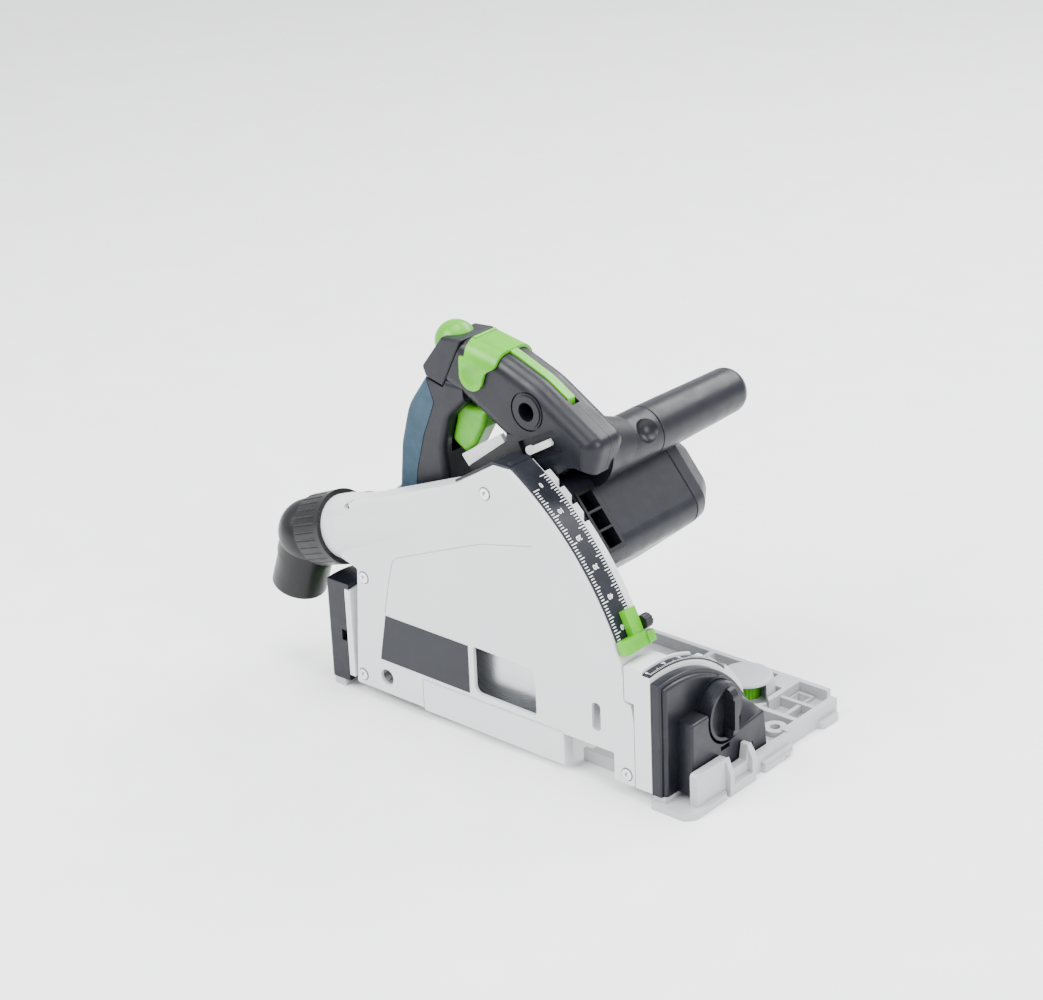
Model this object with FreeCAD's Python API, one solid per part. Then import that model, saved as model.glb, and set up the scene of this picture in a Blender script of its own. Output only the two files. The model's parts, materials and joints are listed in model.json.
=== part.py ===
"""Track plunge saw: a blade, gearbox and motor that swing down about a pin inside a guard on a die-cast base.

Places are millimetres from the rear corner of the base at its cut edge: x runs forward along the cut, y runs
away from the cut towards the motor, z runs up from the sole. The saved solids are moved so that the part's
origin is the middle of the sole.
"""
import FreeCAD, Part
import math
import os

V = FreeCAD.Vector
X_AXIS = V(1, 0, 0)
Y_AXIS = V(0, 1, 0)
Z_AXIS = V(0, 0, 1)

# ---- driving dimensions ------------------------------------------------------------------------------------
BASE_W = 168.0
BASE_EDGE = 15.0            # y of the base edge beside the blade
SKIN = 4.5                  # thickness of the base between its ribs
RIB_TOP = 13.0
TO_ORIGIN = V(-146.0, -84.0, 0)

PIVOT = V(39.0, 0, 20.0)    # plunge hinge, along y
REACH = 115.0               # pivot to arbor
REST_ANGLE = math.radians(33.8)
BLADE_R = 80.0
BLADE_Y = 8.0               # middle of the blade's thickness
BLADE_BODY = 1.6
KERF = 2.2
TEETH = 48
ARBOR = PIVOT + V(REACH * math.cos(REST_ANGLE), 0, REACH * math.sin(REST_ANGLE))

TILT_Y = 8.0                # bevel hinge, along x on the sole plane
QUAD_R = 86.0               # radius of the bevel quadrants about it
FACE_Y = -4.0               # outer face of the guard cover
SPLIT_Y = 14.0              # cover meets inner guard
GUARD_Y = 25.0              # inner guard's motor side
WALL = 2.6
ARC_R = 213.0               # guard rim about the plunge pivot

NOSE_R = 19.0               # bearing nose that reaches through the guard
NECK_R = 12.0               # thinner neck in front of it that carries the riving knife
BRIDGE_R = 27.0
ARM_Y1 = 35.0
UNIT_Y = 26.5               # everything that plunges lies beyond this, but for the arbor and blade
GEAR_END_Y = 48.0
MOTOR_END_Y = 120.0
CAP_END_Y = 148.0
MODULE = 1.0
TEETH_ARBOR = 40
TEETH_IDLER_SMALL = 20
TEETH_IDLER_LARGE = 44
TEETH_MOTOR = 12

MOTOR_LEAN = math.radians(-51.0)    # direction of the motor's front face, seen along y
DOWN = V(math.cos(MOTOR_LEAN), 0, math.sin(MOTOR_LEAN))
AHEAD = V(-math.sin(MOTOR_LEAN), 0, math.cos(MOTOR_LEAN))
MOTOR_FRONT = 251.0
MOTOR_BACK = 165.0
MOTOR_TOP = -40.0
MOTOR_UNDER = 25.0
MOTOR_ROUND = 14.0          # radius of the motor housing's long edges

HANDLE_Y0 = 26.5
HANDLE_Y1 = 60.0
HANDLE_MID = (HANDLE_Y0 + HANDLE_Y1) / 2
GRIP_AXIS = V(177.0, 0, 194.0)      # front auxiliary handle, along y
GRIP_R = 17.2
GRIP_END_R = 15.4
GRIP_SEAM_Y = 101.0
GRIP_END_Y = 197.0

TUBE_END = V(-12.0, 14.0, 110.0)    # centre of the dust tube's rim
TUBE_DIR = V(-math.cos(math.radians(20)), 0, -math.sin(math.radians(20)))
TUBE_R = 22.0
OUTLET_DIR = V(-math.sin(math.radians(20)), 0, -math.cos(math.radians(20)))
GAP = 0.35

PARTS = {}


# ---- helpers -----------------------------------------------------------------------------------------------
def part(function):
    """Registers a function that returns one sub-part; the function's name is the sub-part's name."""
    PARTS[function.__name__] = function
    return function


def box(x0, x1, y0, y1, z0, z1):
    return Part.makeBox(x1 - x0, y1 - y0, z1 - z0, V(x0, y0, z0))


def rod(start, end, r, r2=None):
    axis = end - start
    if r2 is None or abs(r - r2) < 1e-6:
        return Part.makeCylinder(r, axis.Length, start, axis)
    return Part.makeCone(r, r2, axis.Length, start, axis)


def disc(centre, r, y0, y1):
    """A round slab across y."""
    return Part.makeCylinder(r, y1 - y0, V(centre.x, y0, centre.z), Y_AXIS)


def ring(centre, r_out, r_in, y0, y1):
    return disc(centre, r_out, y0, y1).cut(disc(centre, r_in, y0 - 1, y1 + 1))


def corner_arc(before, at, after, r):
    """Start, middle and end of the arc of radius r that rounds the corner at a point."""
    a = (before - at).normalize()
    b = (after - at).normalize()
    half = a.getAngle(b) / 2
    if half > math.radians(89.5):
        return at, None, at
    back = r / math.tan(half)
    middle = (a + b).normalize()
    centre = at + middle * (r / math.sin(half))
    return at + a * back, centre - middle * r, at + b * back


def outline(points):
    """A closed wire through points; a point given with a radius has its corner rounded."""
    places = [p for p, r in points]
    count = len(points)
    edges = []
    ends = []
    for i, (at, r) in enumerate(points):
        if r:
            ends.append(corner_arc(places[i - 1], at, places[(i + 1) % count], r))
        else:
            ends.append((at, None, at))
    for i in range(count):
        first, middle, last = ends[i]
        if middle is not None:
            edges.append(Part.Arc(first, middle, last).toShape())
        following = ends[(i + 1) % count][0]
        if (following - last).Length > 1e-4:
            edges.append(Part.makeLine(last, following))
    return Part.Wire(edges)


def slab_y(points, y0, y1):
    """Extrudes an (x, z[, corner radius]) outline across y."""
    wire = outline([(V(p[0], y0, p[1]), p[2] if len(p) > 2 else 0) for p in points])
    return Part.Face(wire).extrude(V(0, y1 - y0, 0))


def slab_x(points, x0, x1):
    """Extrudes a (y, z[, corner radius]) outline along x."""
    wire = outline([(V(x0, p[0], p[1]), p[2] if len(p) > 2 else 0) for p in points])
    return Part.Face(wire).extrude(V(x1 - x0, 0, 0))


def slab_z(points, z0, z1):
    """Extrudes an (x, y[, corner radius]) outline upwards."""
    wire = outline([(V(p[0], p[1], z0), p[2] if len(p) > 2 else 0) for p in points])
    return Part.Face(wire).extrude(V(0, 0, z1 - z0))


def soften(shape, r, chosen):
    """Rounds the edges that a test chooses, with a smaller radius where the first can't be made."""
    edges = [e for e in shape.Edges if chosen(e)]
    if not edges:
        return shape
    for radius in (r, r * 0.6, r * 0.3):
        try:
            rounded = shape.makeFillet(radius, edges)
            if rounded.isValid() and rounded.Volume > 0.5 * shape.Volume:
                return rounded
        except Exception:
            continue
    return shape


def at_y(y, tolerance=0.05):
    """Edges that lie in one plane across y."""
    return lambda e: abs(e.BoundBox.YMin - y) < tolerance and abs(e.BoundBox.YMax - y) < tolerance


def at_x(x, tolerance=0.05):
    return lambda e: abs(e.BoundBox.XMin - x) < tolerance and abs(e.BoundBox.XMax - x) < tolerance


def at_z(z, tolerance=0.05):
    return lambda e: abs(e.BoundBox.ZMin - z) < tolerance and abs(e.BoundBox.ZMax - z) < tolerance


def fuse(first, *others):
    for other in others:
        first = first.fuse(other)
    return first.removeSplitter()


def polar(centre, r, degrees, y=0.0):
    a = math.radians(degrees)
    return V(centre.x + r * math.cos(a), y, centre.z + r * math.sin(a))


def sector(r_in, r_out, low, high, y0, y1):
    """A curved bar about the plunge pivot between two angles in degrees."""
    mid = (low + high) / 2
    outer = Part.Arc(*[polar(PIVOT, r_out, a, y0) for a in (low, mid, high)])
    inner = Part.Arc(*[polar(PIVOT, r_in, a, y0) for a in (high, mid, low)])
    edges = [
        outer.toShape(),
        Part.makeLine(polar(PIVOT, r_out, high, y0), polar(PIVOT, r_in, high, y0)),
        inner.toShape(),
        Part.makeLine(polar(PIVOT, r_in, low, y0), polar(PIVOT, r_out, low, y0)),
    ]
    return Part.Face(Part.Wire(edges)).extrude(V(0, y1 - y0, 0))


def motor_point(down, ahead):
    """A place in the motor's own leaning axes, as (x, z)."""
    p = DOWN * down + AHEAD * ahead
    return p.x, p.z


def motor_slab(down0, down1, ahead0, ahead1, y0, y1, radius):
    corners = [(down0, ahead0), (down1, ahead0), (down1, ahead1), (down0, ahead1)]
    return slab_y([motor_point(*c) + (radius,) for c in corners], y0, y1)


def screw(head, direction, length, r_head=4.0, r_body=2.0, drive=1.9):
    """A pan-head screw with a six-sided drive recess; its head's top is at the first point."""
    direction = direction.normalize()
    under = head + direction * 2.4
    body = rod(head, under, r_head).fuse(rod(under, head + direction * length, r_body))
    hexagon = Part.makePolygon([p for p in hex_points(head - direction * 0.1, direction, drive)])
    recess = Part.Face(hexagon).extrude(direction * 1.6)
    return body.cut(recess)


def hex_points(centre, axis, r):
    side = axis.cross(V(0.3, 0.5, 0.8)).normalize()
    up = axis.cross(side)
    turns = [math.radians(60 * i) for i in range(7)]
    return [centre + side * (r * math.cos(t)) + up * (r * math.sin(t)) for t in turns]


def bearing(centre, bore_r, outer_r, y0, y1):
    """A sealed ball bearing drawn as one ring with grooves where the shields sit."""
    body = ring(centre, outer_r, bore_r, y0, y1)
    middle = (bore_r + outer_r) / 2
    half = (outer_r - bore_r) / 5
    for start in (y0 - 0.5, y1 - 0.5):
        body = body.cut(ring(centre, middle + half, middle - half, start, start + 1.0))
    return body


def gear(centre, teeth, y0, y1, bore_r, shift=0.0):
    """A spur gear of the shared module, with straight-sided teeth, a little thinner than the gaps."""
    pitch_r = MODULE * teeth / 2
    root = pitch_r - 1.25 * MODULE
    tip = pitch_r + 0.9 * MODULE
    step = 2 * math.pi / teeth
    points = []
    for i in range(teeth):
        middle = i * step + shift
        for r, offset in ((root, -0.30), (tip, -0.10), (tip, 0.10), (root, 0.30)):
            angle = middle + offset * step
            points.append(V(centre.x + r * math.cos(angle), y0, centre.z + r * math.sin(angle)))
    points.append(points[0])
    body = Part.Face(Part.makePolygon(points)).extrude(V(0, y1 - y0, 0))
    return body.cut(disc(centre, bore_r, y0 - 1, y1 + 1)) if bore_r else body


# ---- places that follow from the driving dimensions --------------------------------------------------------
SLOW_GAP = MODULE * (TEETH_ARBOR + TEETH_IDLER_SMALL) / 2
FAST_GAP = MODULE * (TEETH_IDLER_LARGE + TEETH_MOTOR) / 2
MOTOR_GAP = 56.0
MOTOR = ARBOR + V(0.357, 0, 0.934) * MOTOR_GAP
ALONG = (SLOW_GAP ** 2 - FAST_GAP ** 2 + MOTOR_GAP ** 2) / (2 * MOTOR_GAP)
ASIDE = math.sqrt(SLOW_GAP ** 2 - ALONG ** 2)
IDLER = ARBOR + V(0.357, 0, 0.934) * ALONG + V(-0.934, 0, 0.357) * ASIDE


# ---- base --------------------------------------------------------------------------------------------------
JAW_FRONT = V(229.0, 139.0, 0)
JAW_REAR = V(62.0, 139.0, 0)
JAW_R = 9.5
JAW_TOP = 19.4
FENCE_X = (14.0, 244.0)     # holes for the rods of a parallel fence
FENCE_Z = 6.6
GROOVE_Y0 = 92.0
GROOVE_Y1 = 110.0
GROOVE_DEPTH = 2.2


@part
def base_plate():
    plate = slab_z(
        [(0, BASE_EDGE, 3), (262.9, BASE_EDGE, 0), (262.9, -7, 2), (289, -7, 3),
         (294.5, -1, 2), (294.5, 30, 3), (289, 35, 1), (289, 70, 2), (294, 71, 2), (294, 100, 2),
         (286, 104, 2),
         (286, 137, 2), (291, 139, 3), (291, 156, 4), (282, 162, 3), (270, BASE_W, 4), (0, BASE_W, 5)],
        0, SKIN)
    rails = [
        box(0, 286, 118, 122, 0, RIB_TOP), box(3, 276, 164, BASE_W, 0, RIB_TOP),
        box(0, 4, BASE_EDGE + 42, 164, 0, RIB_TOP), box(282, 286.5, 104, 160, 0, RIB_TOP),
        box(2, 262, 56, 60, 0, RIB_TOP), box(250, 254, 118, 164, 0, RIB_TOP),
        box(90, 94, 58, 166, 0, RIB_TOP), box(180, 184, 58, 166, 0, RIB_TOP),
        box(136, 139, 58, 118, 0, RIB_TOP),
        box(254, 284, 142, 145, 0, 11), box(268, 271, 120, 144, 0, 10),
        box(56, 252, BASE_EDGE, BASE_EDGE + 3, 0, 9), box(200, 262, BASE_EDGE, 30, 0, 9),
        box(0, 22, BASE_EDGE, 56, 0, 9),
    ]
    front_wall = slab_x([(5, 0), (5, 26.5, 2.5), (36, 26, 1), (38, 15, 1), (55, 15, 1), (57, 25.5, 1),
                         (60.5, 25.5, 1), (65, 17, 2), (67, 12.5), (104, 12), (104, 0)],
                        SKIRT_X1 + 1.0, 290.5)
    trough = [slab_y([(290, 4), (290, 25.5), (294.2, 15.5), (294.2, 4)], y, y + 4) for y in (34, 57)]
    shelf = fuse(box(QUAD_X0, 287, 26, 108, 0, 8.4), box(QUAD_X0, 272, -3, 30, 0, 8.4))
    shelf = fuse(shelf, box(290, 294.2, 34, 61, 0, 7))
    ledge = box(288, 293.5, 71, 101, 0, 7)
    hole_boss = rod(V(276, 106, 0), V(276, 106, 12), 8)
    pockets = box(255, 267, 146, 162, 0, 7)
    bosses = [jaw_boss(j) for j in (JAW_FRONT, JAW_REAR)]
    fence = [box(x - 7, x + 7, 150, BASE_W, 0, RIB_TOP) for x in FENCE_X]
    rear_foot = slab_z([(-14, -3, 3), (-2.4, -3, 1), (-2.4, BASE_EDGE, 0), (12, BASE_EDGE, 0), (12, 60, 0),
                        (-14, 60, 4)], 0, 6)
    body = fuse(plate, *rails, front_wall, *trough, shelf, ledge, hole_boss, pockets, rear_foot)
    body = fuse(body, *bosses, *fence)
    for jaw in (JAW_FRONT, JAW_REAR):
        body = body.cut(jaw_room(jaw))
    body = body.cut(rod(V(276, 106, -1), V(276, 106, 14), 3.5))
    body = body.cut(box(104, 192, BASE_EDGE - 1, 53, -1, 20))
    knife_relief = box(60, 84, BASE_EDGE - 1, 17.4, -1, 2.2)
    body = body.cut(knife_relief)
    body = body.cut(box(256, 266, 149, 160, -1, 20)).cut(box(272, 280, 124, 140, -1, 6))
    body = body.cut(box(210, 246, 66, 84, -1, 20)).cut(box(22, 60, 70, 84, -1, 20))
    body = body.cut(box(-20, 300, GROOVE_Y0, GROOVE_Y1, -1, GROOVE_DEPTH))
    for x in FENCE_X:
        body = body.cut(rod(V(x, 150, FENCE_Z), V(x, 175, FENCE_Z), 3.1))
    return body


def jaw_boss(jaw):
    """Rounded housing over a guide jaw."""
    boss = rod(V(jaw.x, jaw.y, 0), V(jaw.x, jaw.y, JAW_TOP + 2.6), 21, 17.5)
    return soften(boss, 2.5, at_z(JAW_TOP + 2.6))


def jaw_room(jaw):
    """The well that a guide jaw turns in, with the window that a thumb reaches it through."""
    well = rod(V(jaw.x, jaw.y, -1), V(jaw.x, jaw.y, JAW_TOP + GAP), JAW_R + GAP)
    window = box(0, 26, -11.0, 11.0, SKIN + 2.5, JAW_TOP + GAP)
    window.rotate(V(0, 0, 0), Z_AXIS, -45)
    window.translate(V(jaw.x, jaw.y, 0))
    return well.fuse(window)


@part
def glide_strips():
    """Two slick strips in the groove that rides on the guide rail."""
    strips = [box(12, 278, y, y + 4, 0.6, GROOVE_DEPTH) for y in (GROOVE_Y0 + 0.4, GROOVE_Y1 - 4.4)]
    return Part.makeCompound([soften(s, 0.5, lambda e: e.Length < 1.7) for s in strips])


def guide_jaw(centre):
    """A ridged thumbwheel whose eccentric foot takes up play on the guide rail."""
    wheel = rod(V(centre.x, centre.y, 4), V(centre.x, centre.y, JAW_TOP), JAW_R)
    foot = rod(V(centre.x + 1.2, centre.y, 0.4), V(centre.x + 1.2, centre.y, 4), JAW_R - 2.5)
    body = fuse(wheel, foot)
    for i in range(24):
        a = math.radians(15 * i)
        groove = V(centre.x + JAW_R * math.cos(a), centre.y + JAW_R * math.sin(a), 6)
        body = body.cut(Part.makeCylinder(0.6, 20, groove, Z_AXIS))
    return body


@part
def front_guide_jaw():
    return guide_jaw(JAW_FRONT)


@part
def rear_guide_jaw():
    return guide_jaw(JAW_REAR)


def quadrant_slab(r, y0, y1, bottom, x0, x1):
    """A quadrant plate between two x planes."""
    whole = Part.makeCylinder(r, x1 - x0, V(x0, TILT_Y, 0), X_AXIS)
    return whole.common(box(x0, x1, y0, y1, bottom, r + 1))


KNOB_FRONT = V(0, 46.0, 51.0)
KNOB_REAR = V(0, 22.0, 46.0)
QUAD_X0 = 262.9
QUAD_X1 = 271.0
SKIRT_X1 = 284.0
BRACKET_R = 92.5            # rim of the front swivel bracket, which carries the angle scale
SCALE_FLOOR = 89.6
REAR_QUAD_X1 = 3.0


@part
def front_quadrant():
    """Dark front housing of the bevel clamp: a D plate with a stepped rim, a skirt and a knob recess."""
    plate = quadrant_slab(QUAD_R, FACE_Y, 97, 8.4, QUAD_X0, QUAD_X1 - 1)
    plate = soften(plate, 1.2, lambda e: at_x(QUAD_X1 - 1)(e) and e.BoundBox.ZMax > 9)
    face = quadrant_slab(QUAD_R - 2.6, FACE_Y + 2.2, 94, 8.4, QUAD_X1 - 2, QUAD_X1 + 1.5)
    face = soften(face, 2.4, lambda e: at_x(QUAD_X1 + 1.5)(e) and e.BoundBox.ZMax > 9)
    skirt_side = [(9.5, 8.4), (9.5, 57, 2), (26, 57), (50, 34), (84, 37, 2), (87, 8.4)]
    skirt = slab_x(skirt_side, QUAD_X1 - 2, SKIRT_X1)
    skirt = soften(skirt, 1.6, lambda e: at_x(SKIRT_X1)(e) and e.BoundBox.ZMax > 9)
    roof = shoulder([(46, 20), (58, 66), (80.5, 43), (86, 20)], [(46, 20), (52, 34), (83, 36), (86, 20)])
    body = fuse(plate, face, skirt, roof)
    recess = knob_rod(QUAD_X0 + 3, SKIRT_X1 + 5, 20.4)
    collar = knob_rod(QUAD_X0 + 3, QUAD_X1 + 2.4, 20.4).cut(knob_rod(0, 300, 18.9))
    body = fuse(body.cut(recess), collar)
    body = body.cut(knob_rod(200, 300, 3.98))
    body = body.cut(box(279, 300, 38, 47, 27, 30)).cut(box(281, 300, 66, 71, 8, 20))
    hollow = slab_x([(14, 7), (14, 29), (82, 26), (82, 7)], QUAD_X1 - 4, SKIRT_X1 - 2.4)
    return body.cut(hollow)


def shoulder(back, front):
    """A block whose outline across x changes evenly from the one behind to the one in front."""
    wires = []
    for x, corners in ((QUAD_X1 - 1, back), (SKIRT_X1 - 0.6, front)):
        places = [V(x, y, z) for y, z in corners]
        wires.append(Part.makePolygon(places + places[:1]))
    return Part.makeLoft(wires, True, True)


def knob_rod(x0, x1, r):
    """A round bar along the front clamp bolt's axis."""
    return rod(V(x0, KNOB_FRONT.y, KNOB_FRONT.z), V(x1, KNOB_FRONT.y, KNOB_FRONT.z), r)


@part
def rear_quadrant():
    """Dark rear plate of the bevel guide, on the base, with a lip over the bracket."""
    plate = quadrant_slab(80, FACE_Y, 56, 6.0, -13.8, REAR_QUAD_X1)
    plate = soften(plate, 2.5, lambda e: at_x(-13.8)(e) and e.BoundBox.ZMax > 7)
    inner = quadrant_slab(76.5, FACE_Y + 3, 52, 12, -10.8, REAR_QUAD_X1 + 1)
    body = plate.cut(inner)
    hub = rod(V(-13, KNOB_REAR.y, KNOB_REAR.z), V(REAR_QUAD_X1, KNOB_REAR.y, KNOB_REAR.z), 8)
    lip = quadrant_slab(80, FACE_Y, 40, 40, REAR_QUAD_X1 - 1, 7.5)
    lip = lip.cut(quadrant_slab(76.5, FACE_Y - 1, 60, 0, -5, 20)).cut(box(-5, 20, -10, 60, 0, 66))
    body = fuse(body, hub, lip).cut(box(-0.3, 9, 14.6, 60, 0, RIB_TOP + GAP))
    body = body.cut(box(-1.5, 4, FACE_Y - 1, FACE_Y + 4, 36, 44))
    return body.cut(rod(V(-20, KNOB_REAR.y, KNOB_REAR.z), V(10, KNOB_REAR.y, KNOB_REAR.z), 3.98))


@part
def front_bevel_knob():
    """Wing knob, a shallow cup with a wing across it, and its clamp bolt."""
    face = 281.0
    base = knob_rod(QUAD_X0 + 3.5, face, 18.4)
    rim = knob_rod(face - 1, face + 3, 18.4).cut(knob_rod(face - 2, face + 4, 16.2))
    rim = rim.cut(box(face - 3, face + 6, KNOB_FRONT.y + 1, 100, 0, 100))
    wing = slab_y([(face - 1, -17.6), (face + 5, -17.0, 4), (face + 8.5, -13, 5), (face + 8.5, 13, 5),
                   (face + 5, 17.0, 4), (face - 1, 17.6)], -2.6, 3.6)
    wing = wing.cut(disc(V(face + 7, 0, 0), 10.5, -4, -1.2))
    wing = soften(wing, 0.7, at_y(3.6))
    wing.translate(V(0, KNOB_FRONT.y + 0.6, KNOB_FRONT.z))
    bolt = knob_rod(254.5, 270, 3.9)
    return fuse(base, rim, wing, bolt)


@part
def rear_bevel_knob():
    """Round rear clamp knob with an open rim."""
    c = KNOB_REAR
    rim = rod(V(-24, c.y, c.z), V(-18, c.y, c.z), 14).cut(rod(V(-25, c.y, c.z), V(-17, c.y, c.z), 10.5))
    hub = rod(V(-22, c.y, c.z), V(-14.2, c.y, c.z), 6)
    bolt = rod(V(-20, c.y, c.z), V(9.6, c.y, c.z), 3.9)
    spokes = [box(-22, -19, c.y - 12, c.y + 12, c.z - 2, c.z + 2),
              box(-22, -19, c.y - 2, c.y + 2, c.z - 12, c.z + 12)]
    return fuse(rim, hub, bolt, *spokes)


# ---- guard carrier -----------------------------------------------------------------------------------------
COVER_LOW = 28.0
COVER_OUTLINE = [(9.0, 7.0, 2), (16.0, 93.0, 1), (2.0, 97.0, 1), (-9.0, 131.0, 1), (105.0, 176.0, 14),
                 (142.0, 199.0, 6), (190.0, 199.0, 1), (238.0, 106.0, 1), (241.5, 82.0, 3), (241.8, 66.6, 1),
                 (249.2, 64.6, 1), (249.2, 9.0, 2), (233.0, 9.0, 1), (233.0, 28.0, 1), (71.0, 28.0, 0),
                 (71.0, 6.5, 0)]


def guard_slab(shrink, y0, y1):
    """The guard's side outline, drawn in by a margin and trimmed by the rim arc."""
    whole = slab_y(COVER_OUTLINE, y0, y1).common(disc(PIVOT, ARC_R, y0, y1))
    if shrink:
        edge = Part.Face(whole.Faces[face_at_y(whole, y0)].OuterWire)
        inner = edge.makeOffset2D(-shrink)
        whole = inner.extrude(V(0, y1 - y0, 0))
    return whole


def face_at_y(shape, y):
    boxes = [f.BoundBox for f in shape.Faces]
    flat = [i for i, b in enumerate(boxes) if abs(b.YMin - y) < 0.01 and b.YLength < 0.01]
    return max(flat, key=lambda i: shape.Faces[i].Area)


@part
def outer_cover():
    """Removable blade-side cover with the dust tube, change window and hinge access hole."""
    shell = guard_slab(0, FACE_Y, SPLIT_Y)
    shell = soften(shell, 2.4, lambda e: at_y(FACE_Y)(e) and (e.BoundBox.ZMax > 70 and e.BoundBox.XMin < 239))
    root = TUBE_END - TUBE_DIR * 8
    tube_skin = rod(root, TUBE_END - TUBE_DIR * 112, TUBE_R, FLUSH_R)
    tube_skin = tube_skin.common(box(-40, 120, -40, SPLIT_Y, 60, 200).fuse(box(-40, 9, -40, 60, 60, 200)))
    neck = rod(TUBE_END, TUBE_END - TUBE_DIR * 14, TUBE_R)
    body = fuse(shell, tube_skin, neck)
    hollow = guard_slab(WALL, FACE_Y + WALL, SPLIT_Y + 1)
    bore = rod(TUBE_END + TUBE_DIR * 2, root, TUBE_R - WALL)
    deep = TUBE_END - TUBE_DIR * 70
    bore = bore.fuse(rod(root + TUBE_DIR * 0.1, deep, TUBE_R - WALL, TUBE_R - WALL - 2.5))
    blade_exit = box(24, 238, FACE_Y + WALL, SPLIT_Y + 1, 0, COVER_LOW + WALL + 0.5)
    body = body.cut(hollow).cut(bore).cut(blade_exit)
    body = body.cut(disc(TUBE_DIMPLE, 2.4, FACE_Y - 8, TUBE_DIMPLE.y + 3))
    for line in COVER_LINES:
        body = body.cut(line_groove(line, 0.8, FACE_Y - 0.1, FACE_Y + 0.6))
    window = slab_y([(118, 67, 2), (170, 65.5, 6), (170.4, 33, 3), (118, 33.6, 5)], FACE_Y - 1, 2)
    slot = slab_y([(216, 39, 3), (223, 39, 3), (223, 58.5, 3), (216, 58.5, 3)], FACE_Y - 1, 2)
    access = disc(V(38.7, 0, 19.9), 5.7, FACE_Y - 6, 2)
    body = body.cut(window).cut(slot).cut(access)
    for x, z in COVER_SCREWS:
        body = body.fuse(disc(V(x, 0, z), 6.0, FACE_Y + 1, SPLIT_Y))
        body = body.cut(disc(V(x, 0, z), 4.6, FACE_Y - 6, FACE_Y + 1.82))
        body = body.cut(disc(V(x, 0, z), 2.1, FACE_Y - 6, SPLIT_Y))
    return body


FLUSH_R = 17.8              # radius at which the dust tube sinks into the cover's face
TUBE_DIMPLE = V(11.7, 1.5, 136.8)
COVER_LINES = [
    [(40.6, 68.5), (45.5, 91), (50.5, 108), (54, 111.5), (85, 124.4), (129, 142), (172, 152)],
    [(71, 29.0), (192, 29.0)],
]


def line_groove(points, width, y0, y1):
    """A shallow groove of even width through (x, z) points on a face across y."""
    pieces = []
    for (x0, z0), (x1, z1) in zip(points, points[1:]):
        along = V(x1 - x0, 0, z1 - z0)
        side = V(-along.z, 0, along.x).normalize() * (width / 2)
        corners = [V(x0, y0, z0) + side, V(x1, y0, z1) + side, V(x1, y0, z1) - side, V(x0, y0, z0) - side]
        pieces.append(Part.Face(Part.makePolygon(corners + corners[:1])).extrude(V(0, y1 - y0, 0)))
        pieces.append(disc(V(x1, 0, z1), width / 2, y0, y1))
    return pieces[0].multiFuse(pieces[1:])


COVER_SCREWS = [(23, 89.0), (16.6, 15.5), (135, 178), (243, 16)]


@part
def cover_screws():
    heads = [screw(V(x, FACE_Y - 0.6, z), Y_AXIS * 1, 9.0, 3.7) for x, z in COVER_SCREWS]
    return Part.makeCompound(heads)


@part
def cover_foot_bar():
    """Lower skirt of the guard beside the blade."""
    bar = slab_y([(71.0, 5.6), (192, 4.6, 1), (192, COVER_LOW), (71.0, COVER_LOW)], FACE_Y, 0.0)
    lip = box(186, 192, FACE_Y, 5, 6, COVER_LOW)
    body = fuse(bar, lip)
    return soften(body, 1.2, at_y(FACE_Y))


@part
def inner_guard():
    """White inner casting: carries the hinge pin, the rim and the swivel brackets, slotted for the arbor."""
    plate = guard_slab(0, SPLIT_Y + 0.05, SPLIT_Y + 3.2)
    plate = plate.cut(box(-40, 20, 0, 60, 96, 160)).cut(box(-40, 300, 0, 60, 0, 14))
    tube_clear = rod(TUBE_END - TUBE_DIR * 5, TUBE_END - TUBE_DIR * 40, TUBE_R + 0.4)
    plate = plate.cut(tube_clear.common(box(-60, 9.4, 0, 60, 60, 200)))
    rim = sector(ARC_R - 6, ARC_R - 0.4, 21, 54, SPLIT_Y + 3, GUARD_Y)
    rim_web = sector(ARC_R - 24, ARC_R - 0.4, 44, 57, SPLIT_Y + 3, SPLIT_Y + 6)
    top = slab_y([(105, 170), (142, 192), (150, 190), (108, 165)], SPLIT_Y + 3, SPLIT_Y + 6)
    back = slab_y([(20, 14), (32, 14), (32, 90), (20, 90)], SPLIT_Y + 3, GUARD_Y)
    boss = disc(PIVOT, 13, SPLIT_Y + 3, GUARD_Y)
    front = slab_y([(226, 14), (249.2, 14), (249.2, 64.6), (241.8, 66.6), (241, 82), (238, 84), (230, 84)],
                   SPLIT_Y + 3, GUARD_Y)
    body = fuse(plate, rim, rim_web, top, back, boss, front)
    for angle in (44, 47.5, 51):
        at = polar(PIVOT, ARC_R, angle, 0)
        body = body.cut(box(at.x - 2, at.x + 2, SPLIT_Y + 7, GUARD_Y + 1, at.z - 12, at.z + 6))
    low = math.degrees(REST_ANGLE) - 31
    high = math.degrees(REST_ANGLE)
    slot = sector(REACH - NOSE_R - 2, REACH + NOSE_R + 2, low - 1, high + 1, 0, 60)
    ends = [disc(polar(PIVOT, REACH, a), NOSE_R + 2, 0, 60) for a in (low - 1, high + 1)]
    for cutter in [slot] + ends:
        body = body.cut(cutter)
    return body.cut(disc(PIVOT, 5.0, 0, 60))


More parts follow.
